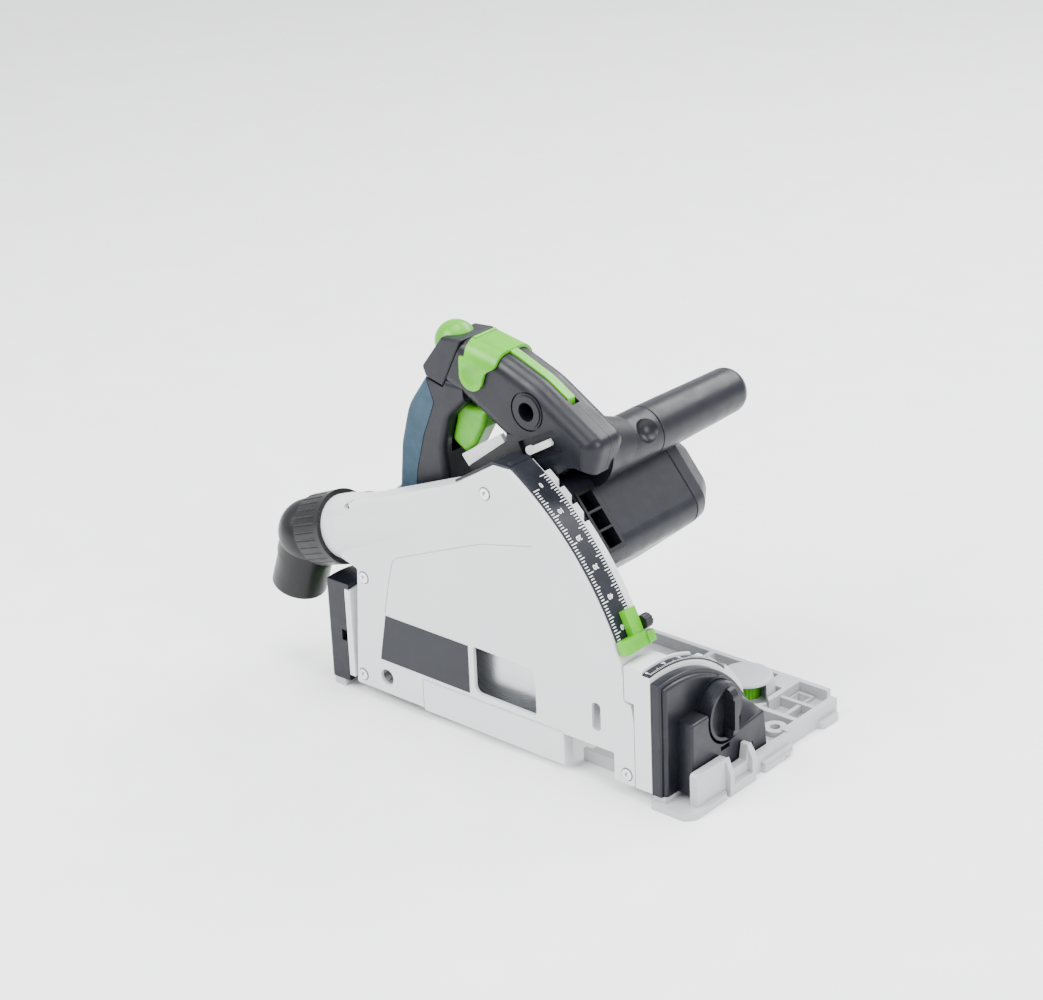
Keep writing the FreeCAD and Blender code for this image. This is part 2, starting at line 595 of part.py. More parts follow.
@part
def front_swivel_bracket():
    """Light front bracket that turns behind the dark quadrant; its rim carries the angle scale."""
    plate = quadrant_slab(BRACKET_R, FACE_Y, 90, 15.5, 255.0, 262.5)
    crown_part = quadrant_slab(BRACKET_R, FACE_Y, 23, 67.2, 242.4, 256.0)
    block = box(249.8, 255.2, FACE_Y, 60, 15.5, 76)
    leg = box(249.8, 262.5, FACE_Y, BASE_EDGE - 1.5, 9.0, 20)
    body = fuse(plate, crown_part, block, leg)
    body = soften(body, 1.5, lambda e: at_x(242.4)(e) and e.BoundBox.ZMin > 80)
    body = body.cut(scale_band(SCALE_FLOOR, BRACKET_R + 2, 256.6, 263, FACE_Y - 1, 71))
    body = body.cut(box(254, 257.4, 44, 62, 72, 95))
    return body.cut(bevel_slot(KNOB_FRONT, 4.6, 240, 270))


@part
def angle_scale_plate():
    """Dark curved band let into the bracket's rim, which the bevel angles are printed on."""
    return scale_band(SCALE_FLOOR, SCALE_FLOOR + 1.2, 256.8, 262.4, FACE_Y + 0.2, 70.6)


def scale_band(r_in, r_out, x0, x1, y0, y1):
    """Part of a ring about the bevel hinge, above the sole."""
    band = Part.makeCylinder(r_out, x1 - x0, V(x0, TILT_Y, 0), X_AXIS)
    band = band.cut(Part.makeCylinder(r_in, x1 - x0, V(x0, TILT_Y, 0), X_AXIS))
    return band.common(box(x0, x1, y0, y1, 50, 120))


def bevel_slot(knob, r, x0, x1):
    """The arc slot that a clamp bolt needs while the carrier tilts by up to 47 degrees and back by one."""
    centre = V(0, TILT_Y, 0)
    reach = math.hypot(knob.y - TILT_Y, knob.z)
    start = math.degrees(math.atan2(knob.z, knob.y - TILT_Y))
    low, high = start - 48.5, start + 2.5
    outer = Part.makeCylinder(reach + r, x1 - x0, V(x0, TILT_Y, 0), X_AXIS)
    inner = Part.makeCylinder(reach - r, x1 - x0, V(x0, TILT_Y, 0), X_AXIS)
    band = outer.cut(inner)
    far = 200.0
    corners = [centre + V(x0, 0, 0)]
    for a in (low, (low + high) / 2, high):
        t = math.radians(a)
        corners.append(V(x0, TILT_Y + far * math.cos(t), far * math.sin(t)))
    wedge = Part.Face(Part.makePolygon(corners + corners[:1])).extrude(V(x1 - x0, 0, 0))
    body = band.common(wedge)
    for a in (low, high):
        t = math.radians(a)
        end = V(x0, TILT_Y + reach * math.cos(t), reach * math.sin(t))
        body = body.fuse(Part.makeCylinder(r, x1 - x0, end, X_AXIS))
    return body


@part
def rear_swivel_bracket():
    """Light rear bracket of the carrier."""
    plate = quadrant_slab(76, FACE_Y, 50, 11, REAR_QUAD_X1 + 0.6, 8.6)
    body = plate.cut(bevel_slot(KNOB_REAR, 4.6, -5, 12))
    tab = box(8.4, 20.0, SPLIT_Y + 3.4, GUARD_Y, 14, 60)
    return fuse(body, tab).cut(bevel_slot(KNOB_REAR, 4.6, -5, 12))


@part
def name_plate():
    """Dark label panel, left blank."""
    return slab_y([(41, 66.3), (113.6, 66.0), (113.4, 32.0), (34.2, 32.6)], FACE_Y - 0.4, FACE_Y)


@part
def depth_scale_strip():
    """Dark strip round the rim, which the depth marks are printed on, carried on over the guard's top."""
    strip = sector(ARC_R, ARC_R + 1.6, 20.8, 58, FACE_Y + 2.4, 17.5)
    top = slab_y([(110, 179.3), (142, 199.1), (154.6, 199.1), (155.6, 200.6), (141.5, 200.6), (109.2, 180.6)],
                 FACE_Y + 1.0, 17.5)
    return fuse(strip, top)


@part
def plunge_pivot_pin():
    head = disc(PIVOT, 7.5, 11.8, SPLIT_Y + 0.02)
    return fuse(disc(PIVOT, 4.95, SPLIT_Y, 49), head, disc(PIVOT, 7.5, 48, 50))


@part
def return_spring():
    """Torsion spring about the hinge pin that lifts the unit, as a close-wound coil."""
    return ring(PIVOT, 11.0, 6.5, 35.8, 47.6)


@part
def depth_stop_slider():
    """T-shaped slider that stops the plunge at the depth chosen on the scale."""
    shoe = sector(ARC_R + 2.0, ARC_R + 8, 20.8, 23.2, FACE_Y + 0.2, 18)
    arm = sector(ARC_R + 2.0, ARC_R + 7, 21.6, 27.4, 8.0, 18.0)
    clamp = sector(ARC_R + 2.0, ARC_R + 9, 20.9, 22.8, 18, 24.4)
    body = soften(fuse(shoe, arm), 0.8, at_y(FACE_Y + 0.2))
    body = fuse(body, clamp)
    for i in range(4):
        body = body.cut(disc(polar(PIVOT, ARC_R + 9.2, 21.2 + 0.42 * i), 0.45, 18.6, 25))
    return body


@part
def depth_stop_adjuster():
    """Small black fine-set screw on the slider."""
    at = polar(PIVOT, ARC_R + 6.8, 24.4, 0)
    head = disc(at, 4.6, 18.4, 24.6)
    for i in range(12):
        head = head.cut(disc(polar(at, 4.9, 30 * i), 0.7, 18, 27))
    return head


# ---- dust port ---------------------------------------------------------------------------------------------
COLLAR_IN = TUBE_END - TUBE_DIR * 3.5
ELBOW_AT = TUBE_END + TUBE_DIR * 33
SOCKET_R = 21.4


@part
def dust_collar():
    """Ribbed swivel collar over the dust tube."""
    start = COLLAR_IN
    end = TUBE_END + TUBE_DIR * 22
    body = rod(start, end, 25.5, 24.5).cut(rod(start - TUBE_DIR, TUBE_END + TUBE_DIR * GAP, TUBE_R + GAP))
    body = body.cut(rod(TUBE_END, end + TUBE_DIR, SOCKET_R + 0.02))
    side = Y_AXIS
    up = TUBE_DIR.cross(side)
    for i in range(30):
        a = math.radians(12 * i)
        out = side * math.cos(a) + up * math.sin(a)
        groove = rod(start + TUBE_DIR * 5 + out * 25.8, end + TUBE_DIR + out * 25.0, 1.0)
        body = body.cut(groove)
    return body


@part
def dust_elbow():
    """Bent outlet with a round end for a 36 mm hose."""
    start = TUBE_END + TUBE_DIR * 4
    socket = rod(start, ELBOW_AT, SOCKET_R)
    ball = Part.makeSphere(22.4, ELBOW_AT)
    end = ELBOW_AT + OUTLET_DIR * 45
    outlet = fuse(rod(ELBOW_AT, end, 19.0), rod(ELBOW_AT, ELBOW_AT + OUTLET_DIR * 19, 20.0))
    nub = rod(ELBOW_AT, ELBOW_AT + TUBE_DIR * 23.6, 5.0)
    body = fuse(socket, ball, outlet, nub)
    body = body.cut(rod(start - TUBE_DIR, ELBOW_AT, 18.0)).cut(Part.makeSphere(18.0, ELBOW_AT))
    body = body.cut(rod(ELBOW_AT, end + OUTLET_DIR, 16.1))
    return body


# ---- plunging unit: gearbox and motor ----------------------------------------------------------------------
def hinge_arm():
    """Flat arm from the hinge boss to the gear case."""
    low = polar(PIVOT, 13, math.degrees(REST_ANGLE) - 90)
    high = polar(PIVOT, 13, math.degrees(REST_ANGLE) + 90)
    corners = [(low.x, low.z), (ARBOR.x + 8, ARBOR.z - 14), (IDLER.x - 20, IDLER.z + 8), (high.x, high.z)]
    return slab_y(corners, UNIT_Y, ARM_Y1)


@part
def gear_housing():
    """Gear case with the hinge arm; its front face has the cooling openings."""
    case = motor_slab(MOTOR_TOP, MOTOR_UNDER, MOTOR_BACK + 2, MOTOR_FRONT, UNIT_Y, GEAR_END_Y, MOTOR_ROUND)
    nose = disc(ARBOR, 23.0, UNIT_Y, GEAR_END_Y)
    bridge = disc(IDLER, BRIDGE_R, UNIT_Y, GEAR_END_Y)
    boss = disc(PIVOT, 13, UNIT_Y, ARM_Y1)
    snout = disc(ARBOR, NOSE_R, 19.5, UNIT_Y)
    neck = disc(ARBOR, NECK_R, 12.6, 20)
    body = fuse(case, nose, bridge, hinge_arm(), boss, snout, neck)
    body = body.cut(disc(PIVOT, 5.0, 0, 60))
    cavity = disc(ARBOR, 21.4, UNIT_Y + 2.5, 38.5).fuse(disc(IDLER, 11.5, UNIT_Y + 6, 60))
    cavity = cavity.fuse(disc(IDLER, 23.4, 38.4, GEAR_END_Y + 1)).fuse(disc(MOTOR, 15.2, 38.4, 60))
    body = body.cut(cavity)
    body = body.cut(disc(ARBOR, 8.35, 0, 40)).cut(disc(ARBOR, 16.0, 21.0, UNIT_Y + 2.6))
    body = body.cut(disc(ARBOR, 6.72, 38, 47.4))
    body = body.cut(disc(IDLER, 4.05, 29.5, 33)).cut(disc(MOTOR, 4.05, 32.5, 39))
    pocket = motor_slab(-26, 18, 222, 246, UNIT_Y + 3, GEAR_END_Y + 1, 3)
    body = body.cut(pocket)
    for i in range(3):
        low = -22.5 + 13.2 * i
        body = body.cut(motor_slab(low, low + 11.6, 240, 260, UNIT_Y + 4, UNIT_Y + 16, 1.2))
    return body


@part
def gear_case_cover():
    """Bearing plate that closes the gear case towards the motor."""
    plate = fuse(disc(IDLER, 23.38, 45.5, GEAR_END_Y), disc(MOTOR, 15.18, 45.5, GEAR_END_Y))
    plate = plate.cut(disc(ARBOR, 25, 40, 50))
    return plate.cut(disc(MOTOR, 11.65, 40, 50)).cut(disc(IDLER, 9.05, 40, 50))


@part
def vent_frame():
    """Black frame around the three cooling openings."""
    outer = motor_slab(-24.8, 18.4, MOTOR_FRONT, MOTOR_FRONT + 1.2, UNIT_Y + 2, UNIT_Y + 18, 0)
    for i in range(3):
        low = -22.5 + 13.2 * i
        outer = outer.cut(motor_slab(low, low + 11.6, 240, 260, UNIT_Y + 4, UNIT_Y + 16, 1.2))
    return outer


def grip_room():
    """Shallow trough that the motor's top leaves for the front handle."""
    return disc(GRIP_AXIS, GRIP_R + 0.6, 90, CAP_END_Y + 20)


@part
def motor_housing():
    """Moulded shell around the field pack."""
    outer = motor_slab(MOTOR_TOP, MOTOR_UNDER, MOTOR_BACK, MOTOR_FRONT,
                       GEAR_END_Y + 0.1, MOTOR_END_Y, MOTOR_ROUND)
    outer = soften(outer, 0.9, at_y(MOTOR_END_Y))
    inner = motor_slab(MOTOR_TOP + 3, MOTOR_UNDER - 3, MOTOR_BACK + 3, MOTOR_FRONT - 3,
                       GEAR_END_Y - 1, MOTOR_END_Y + 1, MOTOR_ROUND - 3)
    return outer.cut(inner).cut(grip_room())


@part
def motor_end_cap():
    """Tapered end cap with air slots."""
    faces = []
    for y, shrink in ((MOTOR_END_Y + 0.4, 0), (MOTOR_END_Y + 11, 1.5), (CAP_END_Y, 10)):
        corners = [(MOTOR_TOP + shrink, MOTOR_BACK + shrink), (MOTOR_UNDER - shrink, MOTOR_BACK + shrink),
                   (MOTOR_UNDER - shrink, MOTOR_FRONT - shrink), (MOTOR_TOP + shrink, MOTOR_FRONT - shrink)]
        faces.append(outline([(V(motor_point(*c)[0], y, motor_point(*c)[1]), MOTOR_ROUND) for c in corners]))
    body = Part.makeLoft(faces, True, True)
    body = soften(body, 4.0, at_y(CAP_END_Y))
    body = soften(body, 0.9, at_y(MOTOR_END_Y + 0.4)).cut(grip_room())
    hollow = motor_slab(MOTOR_TOP + 5, MOTOR_UNDER - 5, MOTOR_BACK + 5, MOTOR_FRONT - 5,
                        MOTOR_END_Y, MOTOR_END_Y + 9, 10)
    deep = motor_slab(MOTOR_TOP + 15, MOTOR_UNDER - 15, MOTOR_BACK + 15, MOTOR_FRONT - 15,
                      MOTOR_END_Y, CAP_END_Y - 4, 10)
    body = body.cut(hollow).cut(deep)
    for i in range(7):
        ahead = MOTOR_BACK + 22 + 6.5 * i
        body = body.cut(motor_slab(-24, 8, ahead, ahead + 3, CAP_END_Y - 6, CAP_END_Y + 1, 1.4))
    body = body.fuse(ring(MOTOR, 14.5, 11.02, 128, CAP_END_Y - 3.8))
    body = body.cut(disc(DIAL, 9.35, CAP_END_Y - 2.9, CAP_END_Y + 5))
    return body.cut(disc(DIAL, 2.05, CAP_END_Y - 7, CAP_END_Y))


@part
def field_core():
    """Laminated field pack with its two windings' bulges."""
    pack = motor_slab(MOTOR_TOP + 3.02, MOTOR_UNDER - 3.02, 180, 232, 66, 102, 12)
    coils = [motor_slab(low, low + 9, 190, 222, 60, 107, 3) for low in (-35, 11)]
    return fuse(pack, *coils).cut(disc(MOTOR, 18.6, 50, 120))


@part
def armature():
    """Armature: shaft with its cut pinion, laminated core and winding ends."""
    shaft = disc(MOTOR, 4.0, 33.0, 137.5)
    core = disc(MOTOR, 17.8, 68, 100)
    for i in range(12):
        at = polar(MOTOR, 17.8, 30 * i)
        core = core.cut(disc(at, 1.3, 60, 110))
    winding_a = disc(MOTOR, 14, 60, 68)
    winding_b = disc(MOTOR, 14, 100, 107)
    pinion = gear(MOTOR, TEETH_MOTOR, 38.8, 45.6, 0, math.radians(pinion_turn()))
    return fuse(shaft, core, winding_a, winding_b, pinion)


def pinion_turn():
    """Turn that puts a pinion gap on the idler's line."""
    toward = math.degrees(math.atan2(IDLER.z - MOTOR.z, IDLER.x - MOTOR.x))
    return toward + 180.0 / TEETH_MOTOR


@part
def commutator():
    body = ring(MOTOR, 11.5, 4.02, 108, 120)
    for i in range(24):
        body = body.cut(disc(polar(MOTOR, 11.6, 15 * i), 0.35, 107, 121))
    return body


@part
def cooling_fan():
    """Radial fan between the gear case and the field pack."""
    hub = ring(MOTOR, 8, 4.02, 50.5, 57)
    plate = ring(MOTOR, 25, 4.02, 50.5, 52)
    blades = []
    for i in range(14):
        blade = box(7.2, 24.4, -0.6, 0.6, -0.6, 5)
        blade.rotate(V(0, 0, 0), X_AXIS, -90)
        blade.translate(V(MOTOR.x, 52, MOTOR.z))
        blade.rotate(V(MOTOR.x, 52, MOTOR.z), Y_AXIS, 360.0 / 14 * i)
        blades.append(blade)
    return fuse(hub, plate, *blades)


@part
def brush_holders():
    """Two carbon-brush boxes beside the commutator."""
    holders = []
    for side, reach in ((-1, 37.6), (1, 42.0)):
        near = MOTOR + AHEAD * (side * 12.0)
        far = MOTOR + AHEAD * (side * reach)
        holders.append(rod(V(near.x, 114, near.z), V(far.x, 114, far.z), 4.5))
    return Part.makeCompound(holders)


@part
def motor_bearings():
    return Part.makeCompound([bearing(MOTOR, 4.02, 11.6, 46.0, 50.2), bearing(MOTOR, 4.02, 11.0, 129, 134)])


@part
def gear_bearings():
    """Bearings of the arbor and of the idler shaft."""
    rings = [bearing(ARBOR, 8.02, 15.95, 21.0, 28.9), bearing(ARBOR, 3.52, 6.7, 41, 47),
             bearing(IDLER, 4.02, 9.0, 45.6, 48.0)]
    return Part.makeCompound(rings)


@part
def idler_shaft():
    """Cluster gear between the motor pinion and the arbor gear."""
    toward_arbor = math.atan2(ARBOR.z - IDLER.z, ARBOR.x - IDLER.x)
    toward_motor = math.atan2(MOTOR.z - IDLER.z, MOTOR.x - IDLER.x)
    small = gear(IDLER, TEETH_IDLER_SMALL, 32.8, 38.2, 0, toward_arbor)
    large = gear(IDLER, TEETH_IDLER_LARGE, 39.2, 44.8, 0, toward_motor)
    core = disc(IDLER, 4.0, 30.0, 47.8)
    return fuse(small, large, core)


# ---- arbor and blade ---------------------------------------------------------------------------------------
@part
def arbor():
    shaft = fuse(disc(ARBOR, 8.0, 12.2, 29), disc(ARBOR, 5.0, 28, 39), disc(ARBOR, 3.5, 38, 47))
    nose = disc(ARBOR, 9.95, BLADE_Y - BLADE_BODY / 2 - 0.6, 12.3)
    return fuse(shaft, nose).cut(disc(ARBOR, 3.0, 0, 20))


@part
def arbor_gear():
    toward = math.atan2(IDLER.z - ARBOR.z, IDLER.x - ARBOR.x)
    return gear(ARBOR, TEETH_ARBOR, 32.8, 38.2, 5.02, toward + math.pi / TEETH_ARBOR)


@part
def inner_flange():
    return ring(ARBOR, 20, 9.97, BLADE_Y + BLADE_BODY / 2 + 0.02, 12.0)


@part
def outer_flange():
    low = BLADE_Y - BLADE_BODY / 2 - 4.2
    return ring(ARBOR, 20, 5.0, low, BLADE_Y - BLADE_BODY / 2 - 0.02).cut(disc(ARBOR, 10.1, 6.5, 9))


@part
def blade_bolt():
    top = BLADE_Y - BLADE_BODY / 2 - 4.22
    head = disc(ARBOR, 7.0, top - 2.6, top)
    body = fuse(head, disc(ARBOR, 2.95, top - 0.01, 19))
    hexagon = Part.Face(Part.makePolygon(hex_points(V(ARBOR.x, top - 3, ARBOR.z), Y_AXIS, 3.4)))
    return body.cut(hexagon.extrude(V(0, 2.2, 0)))


@part
def saw_blade():
    """Circular blade: body with gullets, wider carbide tips, expansion slots."""
    y0 = BLADE_Y - BLADE_BODY / 2
    step = 360.0 / TEETH
    points = []
    for i in range(TEETH):
        a = i * step
        for depth, turn in ((0.6, 0.0), (1.4, 0.36), (6.0, 0.62), (6.4, 0.82)):
            points.append(polar(ARBOR, BLADE_R - depth, a + turn * step, y0))
    body = Part.Face(Part.makePolygon(points + points[:1])).extrude(V(0, BLADE_BODY, 0))
    body = body.cut(disc(ARBOR, 10.0, 0, 20))
    for i in range(6):
        slot = box(BLADE_R - 18, BLADE_R - 4, 0, 20, -0.4, 0.4)
        slot.rotate(V(0, 0, 0), Y_AXIS, 60 * i + 5)
        slot.translate(V(ARBOR.x, 0, ARBOR.z))
        eye = disc(polar(ARBOR, BLADE_R - 18, -60 * i - 5), 1.6, 0, 20)
        body = body.cut(slot).cut(eye)
    tips = []
    for i in range(TEETH):
        a = i * step
        tip = box(BLADE_R - 5.2, BLADE_R, BLADE_Y - KERF / 2, BLADE_Y + KERF / 2, -0.2, 1.3)
        tip.rotate(V(0, 0, 0), Y_AXIS, -a)
        tip.translate(V(ARBOR.x, 0, ARBOR.z))
        tips.append(tip)
    return body.fuse(tips)


@part
def riving_knife():
    """Curved steel plate behind the blade."""
    outer = disc(ARBOR, BLADE_R + 16, BLADE_Y - 0.9, BLADE_Y + 0.9)
    inner = disc(ARBOR, BLADE_R + 3, 0, 20)
    sides = [polar(ARBOR, r, a, 0) for r, a in ((10, 205), (200, 192), (200, 205), (200, 219), (10, 205))]
    arc = outer.cut(inner).common(Part.Face(Part.makePolygon(sides)).extrude(V(0, 20, 0)))
    hub = ring(ARBOR, 17.0, NECK_R + 0.06, 12.3, 19.2)
    edges = [(16, 175), (84, 199), (93, 200), (93, 211), (84, 212), (16, 235)]
    arm = slab_y([(polar(ARBOR, r, a).x, polar(ARBOR, r, a).z) for r, a in edges], 12.3, 13.7)
    foot = slab_y([(polar(ARBOR, r, a).x, polar(ARBOR, r, a).z) for r, a in edges[1:5]], BLADE_Y, 13)
    return fuse(arc, hub, arm.cut(disc(ARBOR, 14, 0, 20)), foot)


# ---- handles -----------------------------------------------------------------------------------------------
HOUSING_SCREWS = [(86, 236), (60, 150), (90, 121), (141, 190)]
STOP_LEVER = V(146.5, 0, 199.5)
STOP_LEVER_Y1 = 28.6
INLET_AT = V(31, HANDLE_MID, 134)
INLET_DIR = V(-0.8, 0, -0.6)
DIAL = MOTOR - AHEAD * 26 + DOWN * 2
HUB = V(145.5, 0, 225.0)
CROWN_R = 10.0              # rounding along both sides of the handle's crown
LOCK_AT = V(73.4, HANDLE_MID, 251.6)
LOCK_R = 13.8
LOCK_IN = V(0.75, 0, -0.66).normalize()
LEVER_HINGE = V(98.3, 0, 261.3)
CAP_SIDE = [(92.4, 260.4, 1), (75.5, 259.2, 2.5), (57.6, 236.3, 2.5), (60.2, 229.8, 2), (74.9, 225.9, 1)]
PAD_SIDE = [(20, 228.8), (61, 228.8), (67, 213, 4), (56.5, 188, 20), (49, 162, 20), (46.5, 143), (20, 143)]


def crown(grow):
    """The main handle's top bar with its rounded crown, thickened all round by a margin."""
    side = [(93.2, 260.4 + grow), (125, 254.2 + grow, 60), (152, 243.4 + grow, 60), (200, 213.5 + grow, 8),
            (191, 184, 8), (172, 176, 4), (150, 186, 4), (124, 202, 8), (96, 218, 8), (75.5, 226)]
    bar = slab_y(side, HANDLE_Y0 - grow, HANDLE_Y1 + grow)

    def on_crown(edge):
        place = edge.BoundBox.Center
        on_top = place.z + 0.44 * place.x > 298 and edge.BoundBox.ZMax > 214 + grow
        return flat_at_side(edge, grow) and (on_top or place.x > 188)

    def on_belly(edge):
        place = edge.BoundBox.Center
        return flat_at_side(edge, grow) and place.z + 0.44 * place.x < 275 and place.x < 150

    return soften(soften(bar, CROWN_R + grow, on_crown), 3.0, on_belly)


def flat_at_side(edge, grow):
    return at_y(HANDLE_Y0 - grow)(edge) or at_y(HANDLE_Y1 + grow)(edge)


def grip_bar():
    """The D handle's grip with its foot, rounded along its back and front."""
    grip = slab_y([(60, 231, 2), (42, 206, 40), (34, 178, 40), (30, 142, 8), (44, 122, 10), (84, 110, 6),
                   (124, 104), (118, 140), (96, 142, 8), (76, 152, 14), (72, 182, 30), (78, 204, 12),
                   (92, 218), (92, 231)], HANDLE_Y0, HANDLE_Y1)

    def along_grip(edge):
        place = edge.BoundBox.Center
        return flat_at_side(edge, 0) and place.x < 90 and 112 < place.z < 226

    return soften(grip, 7.5, along_grip)


def handle_body():
    """Main handle in one piece: top bar, D grip and front column, with room for the motor and the cap."""
    column = slab_y([(126, 206), (188, 212), (186, 184), (176, 178), (150, 176), (122, 152, 4),
                     (118, 160, 6)], HANDLE_Y0, HANDLE_Y1)
    column = soften(column, 3.0, lambda e: flat_at_side(e, 0) and e.BoundBox.Center.x < 150)
    motor_room = motor_slab(MOTOR_TOP - 0.3, MOTOR_UNDER, MOTOR_BACK, MOTOR_FRONT + 20, 0, 100, MOTOR_ROUND)
    body = fuse(crown(0), grip_bar(), column)
    cap_room = slab_y([(92.9, 262), (74, 262), (55, 236), (59, 229.2), (75.2, 225.3)], 0, 90)
    hollow = slab_y([(97, 254.5, 4), (125, 248.5, 20), (152, 237.8, 20), (184, 217, 6), (174, 198, 4),
                     (128, 208, 4), (97, 228, 4)], HANDLE_Y0 + 4.5, HANDLE_Y1 - 4.5)
    pad_room = slab_y(PAD_SIDE, 0, 90)
    for cutter in (motor_room, disc(IDLER, BRIDGE_R, 0, 90), hinge_arm(), cap_room, hollow, pad_room):
        body = body.cut(cutter)
    return clear_controls(body)


def handle_half(y0, y1):
    return largest(handle_body().common(box(0, 260, y0, y1, 90, 290)))


@part
def handle_shell_right():
    body = handle_half(HANDLE_Y0 - 1, HANDLE_MID - 0.1)
    body = body.cut(ring(HUB, 13.0, 11.9, HANDLE_Y0 - 1, HANDLE_Y0 + 1.4))
    body = body.cut(disc(HUB, 6.2, 0, HANDLE_MID)).fuse(ring(HUB, 10.5, 6.2, HANDLE_Y0 - 0.8, HANDLE_Y0 + 12))
    body = body.cut(slab_y([(137, 203), (166, 218), (173, 205), (144, 190)], 0, STOP_LEVER_Y1 + GAP))
    return body.cut(disc(STOP_LEVER, 2.05, 0, 31))


@part
def handle_shell_left():
    body = handle_half(HANDLE_MID + 0.1, HANDLE_Y1 + 1)
    neck = rod(V(GRIP_AXIS.x, HANDLE_Y1 - 8, GRIP_AXIS.z), V(GRIP_AXIS.x, GRIP_SEAM_Y, GRIP_AXIS.z), GRIP_R)
    neck = soften(neck, 0.6, at_y(GRIP_SEAM_Y))
    root_start = V(GRIP_AXIS.x - 4, HANDLE_Y1 - 8, GRIP_AXIS.z + 3)
    root = rod(root_start, V(GRIP_AXIS.x, 78, GRIP_AXIS.z), 23, GRIP_R)
    body = fuse(body, neck, root)
    body = body.cut(motor_slab(MOTOR_TOP, MOTOR_UNDER, MOTOR_BACK, MOTOR_FRONT, 0, 120, MOTOR_ROUND))
    for x, z in HOUSING_SCREWS:
        body = body.cut(disc(V(x, 0, z), 4.1, HANDLE_Y1 - 1.92, 90)).cut(disc(V(x, 0, z), 2.05, 40, 90))
    body = body.cut(Part.makeSphere(10.0, V(GRIP_AXIS.x + 17.8, 88, GRIP_AXIS.z + 11.3)))
    return body.cut(rod(V(GRIP_AXIS.x, 86, GRIP_AXIS.z), V(GRIP_AXIS.x, 110, GRIP_AXIS.z), 5.05))


@part
def handle_rear_cap():
    """Separate dark cap that closes the handle behind its crown."""
    body = slab_y(CAP_SIDE, HANDLE_Y0, HANDLE_Y1)
    body = soften(body, 1.6, lambda e: flat_at_side(e, 0))
    return body.cut(lock_room())


def lock_room():
    """The well that the lock dome is pressed into."""
    deep = LOCK_AT + LOCK_IN * 3.6
    room = Part.makeSphere(LOCK_R + 0.4, LOCK_AT).fuse(Part.makeSphere(LOCK_R + 0.4, deep))
    room = room.fuse(rod(LOCK_AT, deep, LOCK_R + 0.4))
    return room.common(box(40, 110, HANDLE_MID - 12.8, HANDLE_MID + 12.8, 220, 290))


def clear_controls(body):
    """Cuts the openings that the trigger, lock, lever and supply socket need."""
    trigger_well = box(64, 108, HANDLE_MID - 8.5, HANDLE_MID + 8.5, 178, 228)
    lever_well = slab_y([(112, 266), (171.5, 250), (171.5, 226), (112, 247)],
                        HANDLE_MID - 3.6, HANDLE_MID + 3.6)
    socket_well = rod(INLET_AT, INLET_AT + INLET_DIR * 19, 12.02, 11.02)
    return body.cut(trigger_well).cut(lever_well).cut(lock_room()).cut(socket_well)


@part
def grip_pad():
    """Soft blue-grey pad that makes the back of the grip."""
    region = slab_y([(20, 228.4), (60.5, 228.4), (66.4, 213, 4), (55.9, 188, 20), (48.4, 162, 20),
                     (45.9, 143.4), (20, 143.4)], 0, 90)
    return largest(grip_bar().common(region))


def largest(shape):
    return max(shape.Solids, key=lambda solid: solid.Volume)


@part
def trigger():
    """Green switch trigger in front of the grip."""
    body = slab_y([(80, 214, 2), (72, 186, 5), (84, 179, 4), (92, 186, 6), (100, 200, 8), (103, 212, 2)],
                  HANDLE_MID - 8, HANDLE_MID + 8)
    return soften(body, 3.5, lambda e: at_y(HANDLE_MID - 8)(e) or at_y(HANDLE_MID + 8)(e))


@part
def plunge_lock():
    """Green thumb dome that frees the plunge and the switch."""
    ball = Part.makeSphere(LOCK_R, LOCK_AT)
    keep = rod(LOCK_AT + LOCK_IN * 3, LOCK_AT - LOCK_IN * 20, 30)
    return ball.common(box(40, 110, HANDLE_MID - 12.4, HANDLE_MID + 12.4, 220, 290)).common(keep)


@part
def mode_lever():
    """Green blade-change lever: a thin saddle over the crown with a side lobe, and a tongue in a slot."""
    skin = crown(2.4).cut(crown(GAP))
    side = slab_y([(96.8, 270), (122.5, 270), (121.5, 248.5, 3), (113, 243.5, 7), (110.4, 236), (92.2, 236),
                   (92.2, 248, 9)], 0, 90)
    side = fuse(side, disc(LOBE, 9.6, 0, 90))
    saddle = skin.common(side.cut(box(80, 96.8, 0, 90, 251, 280)))
    saddle = largest(saddle)
    barrel = disc(LEVER_HINGE, 1.5, HANDLE_MID - 10, HANDLE_MID + 10)
    tongue = slab_y([(119, 257.6), (152, 244.4, 60), (168, 234.3), (168, 229.5), (150, 240), (119, 251)],
                    HANDLE_MID - 3.2, HANDLE_MID + 3.2)
    body = fuse(saddle, barrel, tongue)
    for y in (HANDLE_Y0 - 2.4 - 14.6, HANDLE_Y1 + 2.4 + 14.6):
        body = body.cut(Part.makeSphere(16.0, V(LOBE.x - 0.6, y, LOBE.z + 0.4)))
    return body


LOBE = V(101.6, 0, 239.2)


@part
def front_handle():
    """Round auxiliary handle, a little slimmer towards its end."""
    start = V(GRIP_AXIS.x, GRIP_SEAM_Y + 0.5, GRIP_AXIS.z)
    body = rod(start, V(GRIP_AXIS.x, GRIP_END_Y, GRIP_AXIS.z), GRIP_R, GRIP_END_R)
    body = soften(body, 9.0, at_y(GRIP_END_Y))
    body = soften(body, 0.6, at_y(GRIP_SEAM_Y + 0.5))
    stud = rod(V(GRIP_AXIS.x, 87, GRIP_AXIS.z), V(GRIP_AXIS.x, GRIP_SEAM_Y + 2, GRIP_AXIS.z), 5.0)
    return fuse(body, stud)


@part
def switch_unit():
    return box(104, 126, HANDLE_MID - 9, HANDLE_MID + 9, 226, 239)


@part
def electronics_module():
    """Potted speed controller in the front of the motor housing."""
    return motor_slab(-20, 12, 234, 247, 58, 92, 3)


